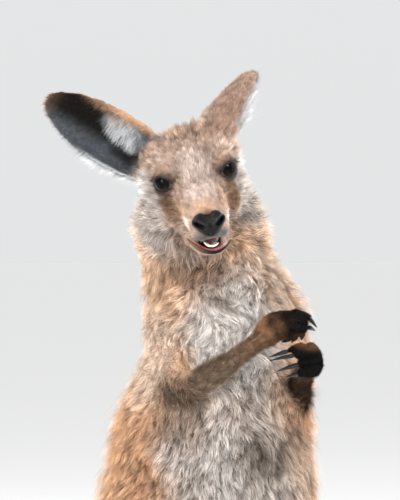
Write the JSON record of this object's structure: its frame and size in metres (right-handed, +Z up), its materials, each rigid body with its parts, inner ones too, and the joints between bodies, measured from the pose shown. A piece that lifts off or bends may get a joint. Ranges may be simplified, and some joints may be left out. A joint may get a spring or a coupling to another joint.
{
  "type": "young eastern grey kangaroo",
  "caption": "Young eastern grey kangaroo standing upright on hind feet and tail, forearms folded over its belly, head tilted, mouth a little open, one ear forward and one laid back.",
  "frame": {"origin": "on the floor, under the middle of the bounding box", "axes": "+Z up; +Y from the chest towards the back and tail; +X towards the animal's left side"},
  "size_m": [0.2466, 0.7086, 0.6858],
  "materials": {
    "fur_tan": "soft fur, rufous-tan with pale tips",
    "fur_pale": "long soft fur, cream to pale grey",
    "fur_grey": "short fur, grey-brown with pale speckles",
    "fur_dark": "short flat fur, dark brown to black",
    "eye": "wet and glossy",
    "nose": "bare skin, moist, finely grained",
    "claw": "smooth horn",
    "tooth": "smooth enamel",
    "tongue": "moist"
  },
  "bodies": {
    "root": {"head": "fur_tan", "lower_jaw": "fur_tan", "ear_right": "fur_tan", "ear_left": "fur_tan", "nose": "nose", "eye_right": "eye", "eye_left": "eye", "tongue": "tongue", "lower_teeth": "tooth", "neck": "fur_tan", "chest": "fur_pale", "belly": "fur_pale", "rump": "fur_tan", "upper_arm_right": "fur_tan", "upper_arm_left": "fur_tan", "forearm_right": "fur_grey", "forearm_left": "fur_grey", "hand_right": "fur_dark", "hand_left": "fur_dark", "claw_hand_right_1": "claw", "claw_hand_right_2": "claw", "claw_hand_right_3": "claw", "claw_hand_right_4": "claw", "claw_hand_right_5": "claw", "claw_hand_left_1": "claw", "claw_hand_left_2": "claw", "claw_hand_left_3": "claw", "claw_hand_left_4": "claw", "claw_hand_left_5": "claw", "thigh_right": "fur_tan", "thigh_left": "fur_tan", "shank_right": "fur_grey", "shank_left": "fur_grey", "foot_right": "fur_dark", "foot_left": "fur_dark", "claw_foot_right_1": "claw", "claw_foot_right_2": "claw", "claw_foot_right_3": "claw", "claw_foot_left_1": "claw", "claw_foot_left_2": "claw", "claw_foot_left_3": "claw", "tail_base": "fur_grey", "tail_middle": "fur_grey", "tail_tip": "fur_grey"}
  },
  "joints": []
}
